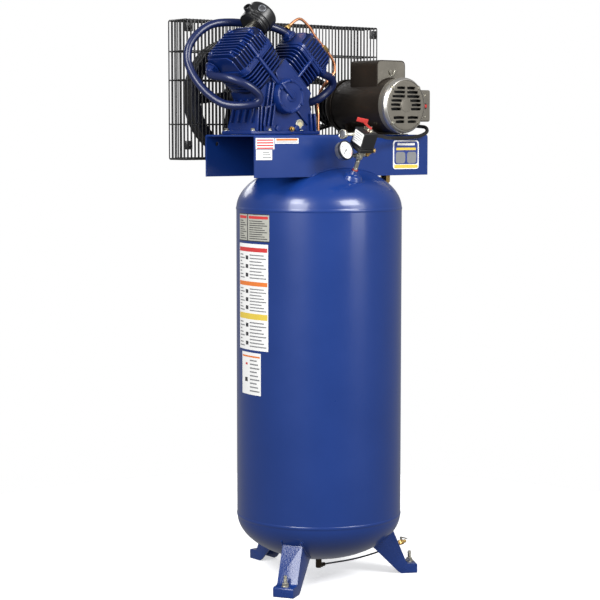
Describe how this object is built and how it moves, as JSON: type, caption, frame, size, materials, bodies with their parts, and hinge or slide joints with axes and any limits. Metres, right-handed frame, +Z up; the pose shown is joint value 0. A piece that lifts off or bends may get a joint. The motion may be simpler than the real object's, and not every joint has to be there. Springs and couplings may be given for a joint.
{
  "type": "vertical tank compressor",
  "caption": "Tall blue air receiver on splayed feet with a belt-driven V pump, motor, wire belt guard and pressure controls on a platform above it.",
  "frame": {"origin": "the middle of the whole object's outline, on the floor", "axes": "+Z up; +X along the platform, from the pump to the motor; +Y from the control side to the belt guard"},
  "size_m": [0.8041, 0.5798, 1.7618],
  "materials": {
    "blue_paint": "gloss blue enamel",
    "dark_paint": "satin dark paint",
    "black_wire": "black coated welded wire",
    "black_plastic": "matt black plastic",
    "motor_paint": "satin dark brown-grey paint",
    "motor_cast": "satin warm grey",
    "zinc": "zinc plated",
    "steel": "machined",
    "aluminium": "machined",
    "brass": "machined brass",
    "copper": "drawn copper",
    "rubber": "fabric-backed rubber",
    "red_plastic": "red",
    "paper": "pleated paper",
    "glass": "clear, with oil behind it"
  },
  "bodies": {
    "receiver": {"tank_shell": "blue_paint", "leg_front_left": "blue_paint", "leg_front_right": "blue_paint", "leg_rear": "blue_paint", "anchor_bolt_front_left": "zinc", "anchor_bolt_front_right": "zinc", "anchor_bolt_rear": "zinc", "platform": "blue_paint", "drain_elbow": "brass", "drain_tube": "dark_paint", "drain_valve_body": "brass", "switch_nipple": "zinc", "switch_manifold": "zinc", "gauge_case": "steel", "pressure_switch_base": "black_plastic", "pressure_switch_cover": "black_plastic", "safety_valve": "brass", "switch_conduit": "black_plastic", "check_valve": "brass", "crankcase": "blue_paint", "crankcase_front_cover": "blue_paint", "bearing_carrier": "blue_paint", "crank_pin": "steel", "low_stage_cylinder": "blue_paint", "high_stage_cylinder": "blue_paint", "low_stage_head": "blue_paint", "high_stage_head": "blue_paint", "belt_front": "rubber", "belt_rear": "rubber", "oil_fill_plug": "dark_paint", "oil_sight_glass": "glass", "intercooler_tube": "blue_paint", "discharge_tube": "blue_paint", "unloader_line": "copper", "air_filter_base": "black_plastic", "air_filter_element": "paper", "motor_shell": "motor_paint", "motor_front_bell": "motor_cast", "motor_rear_bell": "motor_paint", "motor_stator": "copper", "capacitor_cover": "motor_paint", "motor_switch_box": "motor_cast", "motor_base": "motor_paint", "guard_front_panel": "black_wire", "guard_rear_panel": "black_wire", "guard_rim": "black_wire"},
    "flywheel_body": {"flywheel": "dark_paint", "crankshaft": "steel"},
    "motor_rotor_body": {"motor_rotor": "steel", "motor_pulley": "dark_paint"},
    "low_stage_piston_body": {"low_stage_piston": "aluminium", "low_stage_connecting_rod": "aluminium"},
    "high_stage_piston_body": {"high_stage_piston": "aluminium", "high_stage_connecting_rod": "aluminium"},
    "gauge_needle_body": {"gauge_needle": "black_plastic"},
    "switch_lever_body": {"pressure_switch_lever": "red_plastic"},
    "safety_pull_body": {"safety_valve_pull": "brass"},
    "drain_handle_body": {"drain_valve_handle": "zinc"},
    "reset_button_body": {"reset_button": "red_plastic"},
    "filter_cover_body": {"air_filter_cover": "black_plastic"}
  },
  "joints": [
    {"name": "flywheel_spin", "type": "hinge", "parent": "receiver", "child": "flywheel_body", "pos_m": [-0.152, 0.1609, 1.483], "axis": [0, 1, 0], "continuous": true},
    {"name": "motor_spin", "type": "hinge", "parent": "receiver", "child": "motor_rotor_body", "pos_m": [0.243, -0.0191, 1.459], "axis": [0, 1, 0], "continuous": true},
    {"name": "low_stage_piston_slide", "type": "slide", "parent": "receiver", "child": "low_stage_piston_body", "axis": [-0.7071, 0, 0.7071], "range_m": [0, 0.0628]},
    {"name": "high_stage_piston_slide", "type": "slide", "parent": "receiver", "child": "high_stage_piston_body", "axis": [0.7071, 0, 0.7071], "range_m": [0, 0.0628]},
    {"name": "gauge_needle_turn", "type": "hinge", "parent": "receiver", "child": "gauge_needle_body", "pos_m": [-0.052, -0.24092, 1.32422], "axis": [-0.0806, 0.967, -0.2417], "range_deg": [0, 270], "stiffness_Nm_per_rad": 0.0005},
    {"name": "switch_lever_swing", "type": "hinge", "parent": "receiver", "child": "switch_lever_body", "pos_m": [0.0215, -0.26944, 1.3892], "axis": [0.5299, 0.7686, 0.3584], "range_deg": [0, 40]},
    {"name": "safety_valve_pull_out", "type": "slide", "parent": "receiver", "child": "safety_pull_body", "axis": [0.9684, 0, 0.2496], "range_m": [0, 0.006], "stiffness_N_per_m": 200},
    {"name": "drain_handle_turn", "type": "hinge", "parent": "receiver", "child": "drain_handle_body", "pos_m": [0.327, -0.0811, 0.0796], "axis": [0, 0, 1], "range_deg": [0, 90]},
    {"name": "reset_button_press", "type": "slide", "parent": "receiver", "child": "reset_button_body", "axis": [0, 1, 0], "range_m": [0, 0.003], "stiffness_N_per_m": 300},
    {"name": "filter_cover_lift", "type": "slide", "parent": "receiver", "child": "filter_cover_body", "axis": [0.7071, 0, 0.7071], "range_m": [0, 0.08]}
  ],
  "couplings": [
    {"joint": "motor_spin", "follows": "flywheel_spin", "ratio": 3.243}
  ]
}
